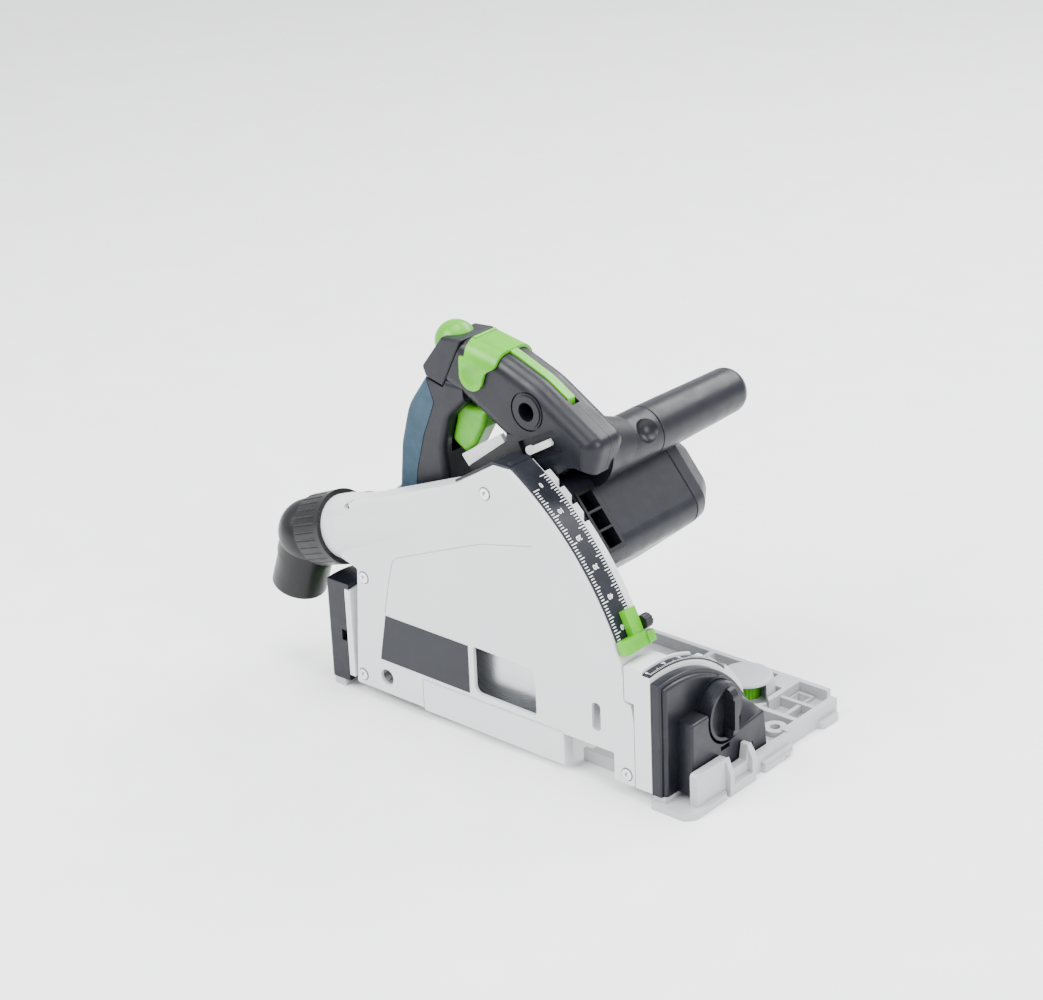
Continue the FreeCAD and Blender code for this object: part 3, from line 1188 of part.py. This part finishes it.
@part
def speed_dial():
    """Edge-on speed wheel set into the end cap."""
    body = fuse(disc(DIAL, 9, CAP_END_Y - 2.5, CAP_END_Y + 2), disc(DIAL, 2.0, CAP_END_Y - 6, CAP_END_Y))
    for i in range(20):
        body = body.cut(disc(polar(DIAL, 9.2, 18 * i), 0.7, CAP_END_Y - 4, CAP_END_Y + 5))
    return body


@part
def power_inlet():
    """Round twist-lock socket for the supply lead, at the foot of the grip."""
    body = rod(INLET_AT, INLET_AT + INLET_DIR * 19, 12.0, 11.0)
    body = body.cut(rod(INLET_AT + INLET_DIR * 6, INLET_AT + INLET_DIR * 20, 8.6))
    return fuse(body, rod(INLET_AT + INLET_DIR * 5, INLET_AT + INLET_DIR * 15, 4.4))


@part
def guard_link_arm():
    """Dark arm from the handle column down to the guard."""
    arm = slab_y([(94, 176, 2), (131, 204, 2), (137, 199, 2), (100, 170, 2)], UNIT_Y, UNIT_Y + 5)
    return largest(arm.cut(handle_body()))


@part
def gear_case_tab():
    """Light stop tab beside the arm."""
    tab = slab_y([(84, 180, 1), (118, 202, 1), (122, 196, 1), (90, 173, 1)], UNIT_Y + 5, UNIT_Y + 8.4)
    return largest(tab.cut(handle_body()))


@part
def spindle_stop_lever():
    """Small grey lever beside the guard's top that holds the arbor for a blade change."""
    blade = slab_y([(143, 199.5, 1.5), (163, 211, 1.5), (165.5, 207.5, 1.5), (146, 196, 1.5)],
                   UNIT_Y - 0.5, STOP_LEVER_Y1)
    eye = disc(STOP_LEVER, 2.9, UNIT_Y - 0.5, STOP_LEVER_Y1)
    return fuse(blade, eye, disc(STOP_LEVER, 2.0, UNIT_Y, 30.8))


@part
def housing_screws():
    heads = [screw(V(x, HANDLE_Y1 + 0.5, z), Y_AXIS * -1, 10.0) for x, z in HOUSING_SCREWS]
    return Part.makeCompound(heads)


def save_all():
    os.makedirs("parts", exist_ok=True)
    for name, make in PARTS.items():
        solids = make().Solids
        whole = solids[0] if len(solids) == 1 else Part.makeCompound(solids)
        whole.translate(TO_ORIGIN)
        if not whole.isValid() or len(solids) != 1:
            print(name, "solids", len(solids), "valid", whole.isValid())
        whole.exportStep(os.path.join("parts", name + ".step"))


save_all()
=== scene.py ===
"""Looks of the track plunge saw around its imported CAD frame.

Lengths are metres in the part's frame: x forward along the cut, y from the blade towards the motor, z up from the
sole. Places are worked out from the CAD boxes. The plunge hinge and the guard's rim give most of them.
"""
import json
import math

import bmesh
import bpy
from mathutils import Matrix, Vector


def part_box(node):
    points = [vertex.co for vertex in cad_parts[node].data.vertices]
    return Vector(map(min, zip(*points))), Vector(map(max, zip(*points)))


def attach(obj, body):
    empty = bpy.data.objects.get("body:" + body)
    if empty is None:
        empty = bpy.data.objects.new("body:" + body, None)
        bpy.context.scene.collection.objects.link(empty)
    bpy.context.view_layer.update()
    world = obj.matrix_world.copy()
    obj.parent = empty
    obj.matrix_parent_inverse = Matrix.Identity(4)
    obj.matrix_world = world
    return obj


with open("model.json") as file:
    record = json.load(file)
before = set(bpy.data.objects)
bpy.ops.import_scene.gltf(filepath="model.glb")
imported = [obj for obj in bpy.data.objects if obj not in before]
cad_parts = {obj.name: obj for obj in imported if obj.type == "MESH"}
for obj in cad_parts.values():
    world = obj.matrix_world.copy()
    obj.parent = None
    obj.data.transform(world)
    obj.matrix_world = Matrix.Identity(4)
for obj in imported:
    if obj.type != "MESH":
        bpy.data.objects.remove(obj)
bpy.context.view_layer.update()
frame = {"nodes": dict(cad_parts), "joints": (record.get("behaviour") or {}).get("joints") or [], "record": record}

MM = 0.001
NODES = frame["nodes"]
JOINTS = {joint["name"]: joint for joint in frame["joints"]}
PIVOT = Vector(JOINTS["plunge"]["pos_m"])
ARBOR = Vector(JOINTS["spindle_spin"]["pos_m"])
TILT = Vector(JOINTS["bevel_tilt"]["pos_m"])
STRIP_LOW, STRIP_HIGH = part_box("depth_scale_strip")

# ---- the depth scale, as angles about the plunge hinge --------------------------------------------------------
RIM_R = 213.0 * MM
STRIP_T = 1.6 * MM
ZERO_ANGLE = 51.4           # degrees above the sole, at no depth
ANGLE_PER_MM = 0.538        # degrees for each millimetre of cut
DEEPEST = 55
FIVES, TENS = 5, 10         # millimetres or degrees between the longer marks
MARK_LENGTHS = (2.9 * MM, 4.2 * MM, 5.2 * MM)       # each millimetre, each fifth, each tenth
MARK_WIDTH = 0.62 * MM
MARK_HEIGHT = 0.12 * MM
MARK_MARGIN = 0.5 * MM
COLUMN_SHIFT = -3.6         # millimetres of cut between the two columns' noughts
DEPTH_TEXT = 4.6 * MM
TEXT_BOLD = 0.02            # how much a letter's outline is thickened, as a share of its size
STRIP_EDGE = STRIP_LOW.y + 1.9 * MM     # blade side of the marks; the strip's cap over the guard reaches further

# ---- the bevel scale, as angles about the bevel hinge ---------------------------------------------------------
BAND_LOW, BAND_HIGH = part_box("angle_scale_plate")
SCALE_R = BAND_HIGH.z - TILT.z
BEVEL_ZERO = -6.0           # degrees from straight up, at no tilt
BEVEL_FIRST, BEVEL_LAST = 0, 45
BEVEL_MARKS = (1.3 * MM, 2.3 * MM)                  # each degree, each fifth
BEVEL_WIDTH = 0.34 * MM
BEVEL_HEIGHT = 0.1 * MM
BEVEL_MARGIN = 0.2 * MM
BEVEL_TEXT = 2.9 * MM


# ---- node materials -------------------------------------------------------------------------------------------
class Shader:
    """A principled material whose colour, roughness and bump come from procedural nodes."""

    def __init__(self, name, metallic=0.0, coat=0.0, specular=0.5):
        self.material = bpy.data.materials.new(name)
        self.material.use_nodes = True
        self.tree = self.material.node_tree
        self.bsdf = self.tree.nodes["Principled BSDF"]
        self.bsdf.inputs["Metallic"].default_value = metallic
        self.bsdf.inputs["Coat Weight"].default_value = coat
        self.bsdf.inputs["Coat Roughness"].default_value = 0.25
        self.bsdf.inputs["Specular IOR Level"].default_value = specular
        self.place = self.add("ShaderNodeTexCoord").outputs["Object"]
        self.bumps = []

    def add(self, kind, **settings):
        node = self.tree.nodes.new(kind)
        for key, value in settings.items():
            if key in node.inputs:
                node.inputs[key].default_value = value
            else:
                setattr(node, key, value)
        return node

    def link(self, output, target):
        self.tree.links.new(output, target)

    def noise(self, scale, detail=3.0, stretch=None, rough=0.55):
        """Cloudy noise with this many cells per metre; a stretch scales it along each axis."""
        source = self.place
        if stretch:
            mapping = self.add("ShaderNodeMapping")
            mapping.inputs["Scale"].default_value = stretch
            self.link(source, mapping.inputs["Vector"])
            source = mapping.outputs["Vector"]
        node = self.add("ShaderNodeTexNoise", Scale=scale, Detail=detail, Roughness=rough)
        self.link(source, node.inputs["Vector"])
        return node.outputs["Fac"]

    def ranged(self, source, low, high, out_low, out_high):
        node = self.add("ShaderNodeMapRange")
        for name, value in (("From Min", low), ("From Max", high), ("To Min", out_low), ("To Max", out_high)):
            node.inputs[name].default_value = value
        self.link(source, node.inputs["Value"])
        return node.outputs["Result"]

    def mixed(self, factor, first, second):
        """A colour between two; each is a tuple or another node's output."""
        node = self.add("ShaderNodeMix", data_type="RGBA")
        self.link(factor, node.inputs["Factor"])
        for value, socket in ((first, node.inputs[6]), (second, node.inputs[7])):
            if isinstance(value, tuple):
                socket.default_value = value + (1.0,)
            else:
                self.link(value, socket)
        return node.outputs[2]

    def colour(self, output):
        self.link(output, self.bsdf.inputs["Base Color"])

    def roughness(self, source, low, high):
        self.link(self.ranged(source, 0.3, 0.7, low, high), self.bsdf.inputs["Roughness"])

    def bump(self, height, strength, distance):
        node = self.add("ShaderNodeBump", Strength=strength, Distance=distance)
        self.link(height, node.inputs["Height"])
        if self.bumps:
            self.link(self.bumps[-1].outputs["Normal"], node.inputs["Normal"])
        self.bumps.append(node)
        self.link(node.outputs["Normal"], self.bsdf.inputs["Normal"])

    def edges(self, low=0.5, high=0.56):
        """One on sharp outer edges, nought on flats."""
        return self.ranged(self.add("ShaderNodeNewGeometry").outputs["Pointiness"], low, high, 0.0, 1.0)

    def creases(self, low=0.42, high=0.5):
        """One in inner corners, nought on flats."""
        return self.ranged(self.add("ShaderNodeNewGeometry").outputs["Pointiness"], low, high, 1.0, 0.0)


def tint(colour, factor):
    return tuple(min(1.0, channel * factor) for channel in colour)


def moulded(name, colour, rough=(0.42, 0.56), grain=2600.0, depth=0.10, wear_and_highlight=1.7, coat=0.0):
    """Moulded plastic: spark-eroded grain, faint clouding, and lighter edges that are partly rubbed wear, partly a
    painted highlight.
    """
    s = Shader(name, coat=coat, specular=0.3)
    cloud = s.ranged(s.noise(38.0, 4.0), 0.35, 0.65, 0.0, 1.0)
    base = s.mixed(cloud, tint(colour, 0.88), tint(colour, 1.12))
    # Lighter outer edges, broken up by noise: partly rubbed wear, partly a painted edge highlight.
    rubbed_and_highlit = s.add("ShaderNodeMath", operation="MULTIPLY")
    s.link(s.edges(), rubbed_and_highlit.inputs[0])
    s.link(s.ranged(s.noise(160.0, 5.0), 0.42, 0.68, 0.1, 0.8), rubbed_and_highlit.inputs[1])
    base = s.mixed(rubbed_and_highlit.outputs[0], base, tint(colour, wear_and_highlight))
    s.colour(base)
    s.roughness(s.noise(90.0, 3.0), *rough)
    s.bump(s.noise(grain, 2.0), depth, 0.0002)
    s.bump(s.noise(60.0, 2.0), 0.04, 0.0006)
    return s.material


def cast(name, colour, rough=(0.36, 0.5), grain=1700.0, depth=0.12):
    """Powder-coated casting: fine orange peel, faint mottling and painted shade darkening the inner corners."""
    s = Shader(name, coat=0.12)
    cloud = s.ranged(s.noise(22.0, 5.0), 0.35, 0.65, 0.0, 1.0)
    base = s.mixed(cloud, tint(colour, 0.965), colour)
    # Painted shade: inner corners darkened towards 0.72 of the colour, broken up by noise.
    crease_shade = s.add("ShaderNodeMath", operation="MULTIPLY")
    s.link(s.creases(), crease_shade.inputs[0])
    s.link(s.ranged(s.noise(120.0, 4.0), 0.35, 0.7, 0.1, 0.6), crease_shade.inputs[1])
    base = s.mixed(crease_shade.outputs[0], base, tint(colour, 0.72))
    s.colour(base)
    s.roughness(s.noise(70.0, 3.0), *rough)
    s.bump(s.noise(grain, 2.0), depth, 0.00015)
    return s.material


def metal(name, colour, rough=(0.22, 0.38), stretch=(1.0, 1.0, 1.0), scale=900.0):
    """Machined metal: fine lines along the stretch, small stains and brighter edges as a painted highlight."""
    s = Shader(name, metallic=1.0)
    lines = s.noise(scale, 4.0, stretch)
    stain = s.ranged(s.noise(45.0, 4.0), 0.4, 0.7, 0.0, 1.0)
    base = s.mixed(stain, colour, tint(colour, 0.8))
    # Painted highlight: sharp outer edges lightened by a quarter.
    base = s.mixed(s.edges(), base, tint(colour, 1.25))
    s.colour(base)
    s.roughness(lines, *rough)
    s.bump(lines, 0.12, 0.0001)
    return s.material


def turned(name, colour, centre, rough=(0.2, 0.36)):
    """Metal ground in rings about an axis along y."""
    s = Shader(name, metallic=1.0)
    offset = s.add("ShaderNodeVectorMath", operation="SUBTRACT")
    s.link(s.place, offset.inputs[0])
    offset.inputs[1].default_value = centre
    flat = s.add("ShaderNodeVectorMath", operation="MULTIPLY")
    s.link(offset.outputs[0], flat.inputs[0])
    flat.inputs[1].default_value = (1.0, 0.0, 1.0)
    radius = s.add("ShaderNodeVectorMath", operation="LENGTH")
    s.link(flat.outputs[0], radius.inputs[0])
    rings = s.add("ShaderNodeTexNoise", noise_dimensions="1D", Scale=2600.0, Detail=4.0)
    s.link(radius.outputs["Value"], rings.inputs["W"])
    stain = s.ranged(s.noise(40.0, 4.0), 0.4, 0.7, 0.0, 1.0)
    s.colour(s.mixed(stain, colour, tint(colour, 0.82)))
    s.roughness(rings.outputs["Fac"], *rough)
    s.bump(rings.outputs["Fac"], 0.2, 0.0001)
    return s.material


def stacked(name, colour):
    """Laminated iron: thin sheets stacked along y."""
    s = Shader(name, metallic=0.8)
    sheets = s.add("ShaderNodeTexWave", bands_direction="Y", Scale=330.0, Distortion=0.4)
    s.link(s.place, sheets.inputs["Vector"])
    s.colour(s.mixed(sheets.outputs["Fac"], tint(colour, 0.7), colour))
    s.roughness(s.noise(200.0), 0.4, 0.6)
    s.bump(sheets.outputs["Fac"], 0.4, 0.0003)
    return s.material


WHITE = (0.61, 0.62, 0.63)
NAVY = (0.0045, 0.0052, 0.0085)
BLACK = (0.0030, 0.0033, 0.0037)
GREEN = (0.070, 0.330, 0.006)
MATERIALS = {
    "cast_base": cast("white_base_casting", (0.40, 0.41, 0.42), (0.40, 0.56)),
    "slick_strip": moulded("slick_strip", (0.30, 0.52, 0.12), (0.25, 0.4)),
    "light_casting": cast("white_cover_casting", WHITE),
    "dark_plastic": moulded("black_moulding", BLACK, (0.30, 0.44), 2200.0),
    "blue_grey_plastic": moulded("navy_moulding", NAVY, (0.30, 0.44), 2600.0, 0.08),
    "soft_grip": moulded("blue_grey_soft_pad", (0.022, 0.048, 0.072), (0.58, 0.74), 1500.0, 0.2, 1.3),
    "green_plastic": moulded("green_moulding", GREEN, (0.3, 0.42), 2400.0, 0.05, 1.25, 0.15),
    "grey_label": moulded("dark_film", (0.006, 0.007, 0.012), (0.3, 0.38), 3000.0, 0.03, 1.2),
    "scale_print": moulded("scale_strip", (0.006, 0.007, 0.011), (0.36, 0.46), 2600.0, 0.06, 1.5),
    "steel": metal("machined_steel", (0.62, 0.62, 0.63)),
    "dark_steel": metal("blackened_steel", (0.10, 0.10, 0.11), (0.32, 0.5)),
    "spring_steel": metal("spring_steel", (0.42, 0.43, 0.45), (0.25, 0.4), (1.0, 12.0, 1.0)),
    "blade_steel": turned("ring_ground_steel", (0.60, 0.61, 0.62), ARBOR),
    "copper": metal("copper_bars", (0.72, 0.33, 0.18), (0.25, 0.4), (1.0, 0.05, 1.0)),
    "laminated_iron": stacked("stacked_iron", (0.32, 0.32, 0.33)),
    "potting": moulded("potted_board", (0.015, 0.05, 0.03), (0.3, 0.5), 600.0),
    "brass_holder": metal("pressed_brass", (0.72, 0.55, 0.24)),
    "white_plastic": moulded("pale_moulding", (0.66, 0.66, 0.65), (0.4, 0.52), 2400.0, 0.06, 1.1),
}
SCALE_WHITE = moulded("scale_marks", (0.78, 0.79, 0.80), (0.4, 0.5), 2400.0, 0.03, 1.05)

for subpart in frame["record"]["subparts"]:
    mesh = NODES[subpart["node"]].data
    mesh.materials.clear()
    mesh.materials.append(MATERIALS[subpart["material_slot"]])


# ---- building pieces ------------------------------------------------------------------------------------------
def piece(name, mesh, material, body):
    """Adds a mesh to the scene as a piece that rides on a CAD body."""
    made = bpy.data.objects.new(name, mesh)
    bpy.context.scene.collection.objects.link(made)
    made.data.materials.clear()
    made.data.materials.append(material)
    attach(made, body)
    return made


def blocks(name, places):
    """One mesh of blocks; each place is a matrix that takes a unit cube there."""
    shape = bmesh.new()
    for place in places:
        bmesh.ops.create_cube(shape, size=1.0, matrix=place)
    mesh = bpy.data.meshes.new(name)
    shape.to_mesh(mesh)
    shape.free()
    return mesh


def lettering(text, size, thickness, place):
    """The mesh of a short text, centred, laid in the xy plane of a place."""
    curve = bpy.data.curves.new("text", "FONT")
    curve.body = text
    curve.size = size
    curve.extrude = thickness
    curve.offset = size * TEXT_BOLD
    curve.align_x = "CENTER"
    curve.align_y = "CENTER"
    curve.resolution_u = 3
    holder = bpy.data.objects.new("text", curve)
    mesh = bpy.data.meshes.new_from_object(holder)
    mesh.transform(place)
    bpy.data.objects.remove(holder)
    bpy.data.curves.remove(curve)
    return mesh


def joined(name, meshes):
    shape = bmesh.new()
    for mesh in meshes:
        shape.from_mesh(mesh)
    result = bpy.data.meshes.new(name)
    shape.to_mesh(result)
    shape.free()
    return result


def axes(right, up, at):
    """A placement whose x is right, y is up and z is their normal."""
    right = right.normalized()
    up = up.normalized()
    normal = right.cross(up)
    return Matrix.Translation(at) @ Matrix((right, up, normal)).transposed().to_4x4()


def scaled(width, height, depth):
    return Matrix.Diagonal((width, height, depth, 1.0))


def on_rim(degrees, y, lift):
    """A placement on the guard's rim, read by someone behind the saw: x towards the blade side, y down the rim."""
    a = math.radians(degrees)
    out = Vector((math.cos(a), 0.0, math.sin(a)))
    down = Vector((math.sin(a), 0.0, -math.cos(a)))
    at = Vector((PIVOT.x, 0.0, PIVOT.z)) + out * (RIM_R + STRIP_T + lift)
    return axes(Vector((0.0, -1.0, 0.0)), down, Vector((at.x, y, at.z)))


def depth_marks():
    """Two columns of millimetre marks along the strip."""
    places = []
    for side, edge, shift in ((1, STRIP_EDGE, 0.0), (-1, STRIP_HIGH.y - MARK_MARGIN, COLUMN_SHIFT)):
        for depth in range(DEEPEST + 1):
            length = MARK_LENGTHS[(depth % FIVES == 0) + (depth % TENS == 0)]
            angle = ZERO_ANGLE - ANGLE_PER_MM * depth - shift * ANGLE_PER_MM
            y = edge + side * length / 2
            places.append(on_rim(angle, y, MARK_HEIGHT / 4) @ scaled(length, MARK_WIDTH, MARK_HEIGHT))
    piece("depth_marks", blocks("depth_marks", places), SCALE_WHITE, "tilting_guard")


def depth_numbers():
    """Numbers every ten millimetres of cut, and at the deepest."""
    middle = (STRIP_EDGE + STRIP_HIGH.y) / 2
    texts = []
    for depth in list(range(0, DEEPEST, TENS)) + [DEEPEST]:
        place = on_rim(ZERO_ANGLE - ANGLE_PER_MM * (depth - 1.0), middle - 0.6 * MM, 0.0)
        texts.append(lettering(str(depth), DEPTH_TEXT, MARK_HEIGHT / 2, place))
    piece("depth_numbers", joined("depth_numbers", texts), SCALE_WHITE, "tilting_guard")


def on_bracket(degrees, x, lift):
    """A placement on the bevel scale's band, read from the front: x towards the motor side, y up over the rim."""
    a = math.radians(degrees)
    out = Vector((0.0, math.sin(a), math.cos(a)))
    along = Vector((0.0, math.cos(a), -math.sin(a)))
    at = Vector((x, TILT.y, TILT.z)) + out * (SCALE_R + lift)
    return axes(along, Vector((-1.0, 0.0, 0.0)), at)


def bevel_scale():
    """Degree marks and numbers printed on the band let into the bracket's rim."""
    places = []
    for degree in range(BEVEL_FIRST, BEVEL_LAST + 1):
        length = BEVEL_MARKS[degree % FIVES == 0]
        x = BAND_HIGH.x - length / 2 - BEVEL_MARGIN
        place = on_bracket(BEVEL_ZERO + degree, x, 0.0)
        places.append(place @ scaled(BEVEL_WIDTH, length, BEVEL_HEIGHT))
    piece("bevel_marks", blocks("bevel_marks", places), SCALE_WHITE, "tilting_guard")
    texts = []
    for degree in range(BEVEL_FIRST, BEVEL_LAST + 1, TENS):
        place = on_bracket(BEVEL_ZERO + degree, BAND_LOW.x + 1.7 * MM, 0.0)
        texts.append(lettering(str(degree), BEVEL_TEXT, BEVEL_HEIGHT / 2, place))
    piece("bevel_numbers", joined("bevel_numbers", texts), SCALE_WHITE, "tilting_guard")


depth_marks()
depth_numbers()
bevel_scale()


# ---- camera, light and floor ----------------------------------------------------------------------------------
VIEW_YAW, VIEW_PITCH, VIEW_ROLL = -0.7304, 0.4150, -0.0437
CAMERA_AT = Vector((1.00048, -1.18349, 0.82958))
LENS = 90.74


def add_camera():
    forward = Vector((math.sin(VIEW_YAW) * math.cos(VIEW_PITCH), math.cos(VIEW_YAW) * math.cos(VIEW_PITCH),
                      -math.sin(VIEW_PITCH)))
    level = Vector((math.cos(VIEW_YAW), -math.sin(VIEW_YAW), 0.0))
    upright = level.cross(forward)
    right = level * math.cos(VIEW_ROLL) + upright * math.sin(VIEW_ROLL)
    up = upright * math.cos(VIEW_ROLL) - level * math.sin(VIEW_ROLL)
    data = bpy.data.cameras.new("camera")
    data.lens = LENS
    data.sensor_width = 36.0
    camera = bpy.data.objects.new("camera", data)
    camera.matrix_world = Matrix.Translation(CAMERA_AT) @ Matrix((right, up, -forward)).transposed().to_4x4()
    bpy.context.scene.collection.objects.link(camera)
    bpy.context.scene.camera = camera


def add_light(name, at, target, size, power, colour=(1.0, 1.0, 1.0)):
    data = bpy.data.lights.new(name, "AREA")
    data.shape = "RECTANGLE"
    data.size, data.size_y = size
    data.energy = power
    data.color = colour
    light = bpy.data.objects.new(name, data)
    light.location = at
    light.rotation_euler = (Vector(target) - Vector(at)).to_track_quat("-Z", "Y").to_euler()
    bpy.context.scene.collection.objects.link(light)


def add_room():
    world = bpy.data.worlds.new("studio")
    world.use_nodes = True
    background = world.node_tree.nodes["Background"]
    background.inputs["Color"].default_value = (0.95, 0.97, 1.0, 1.0)
    background.inputs["Strength"].default_value = 1.35
    bpy.context.scene.world = world
    mesh = bpy.data.meshes.new("floor")
    half = 6.0
    mesh.from_pydata([(-half, -half, 0), (half, -half, 0), (half, half, 0), (-half, half, 0)], [], [(0, 1, 2, 3)])
    floor = bpy.data.objects.new("floor", mesh)
    floor.data.materials.append(cast("studio_floor", (0.93, 0.93, 0.93), (0.6, 0.75)))
    bpy.context.scene.collection.objects.link(floor)
    add_light("key", (-0.7, -1.5, 1.7), (0.0, 0.0, 0.1), (1.4, 1.0), 70.0)
    add_light("side", (1.9, -0.2, 1.1), (0.0, 0.0, 0.1), (0.9, 1.2), 34.0)
    add_light("rear", (0.2, 1.6, 1.5), (0.0, 0.0, 0.1), (1.6, 0.8), 50.0)
    add_light("top", (0.0, 0.0, 2.2), (0.0, 0.0, 0.0), (1.2, 1.2), 50.0)


add_camera()
add_room()
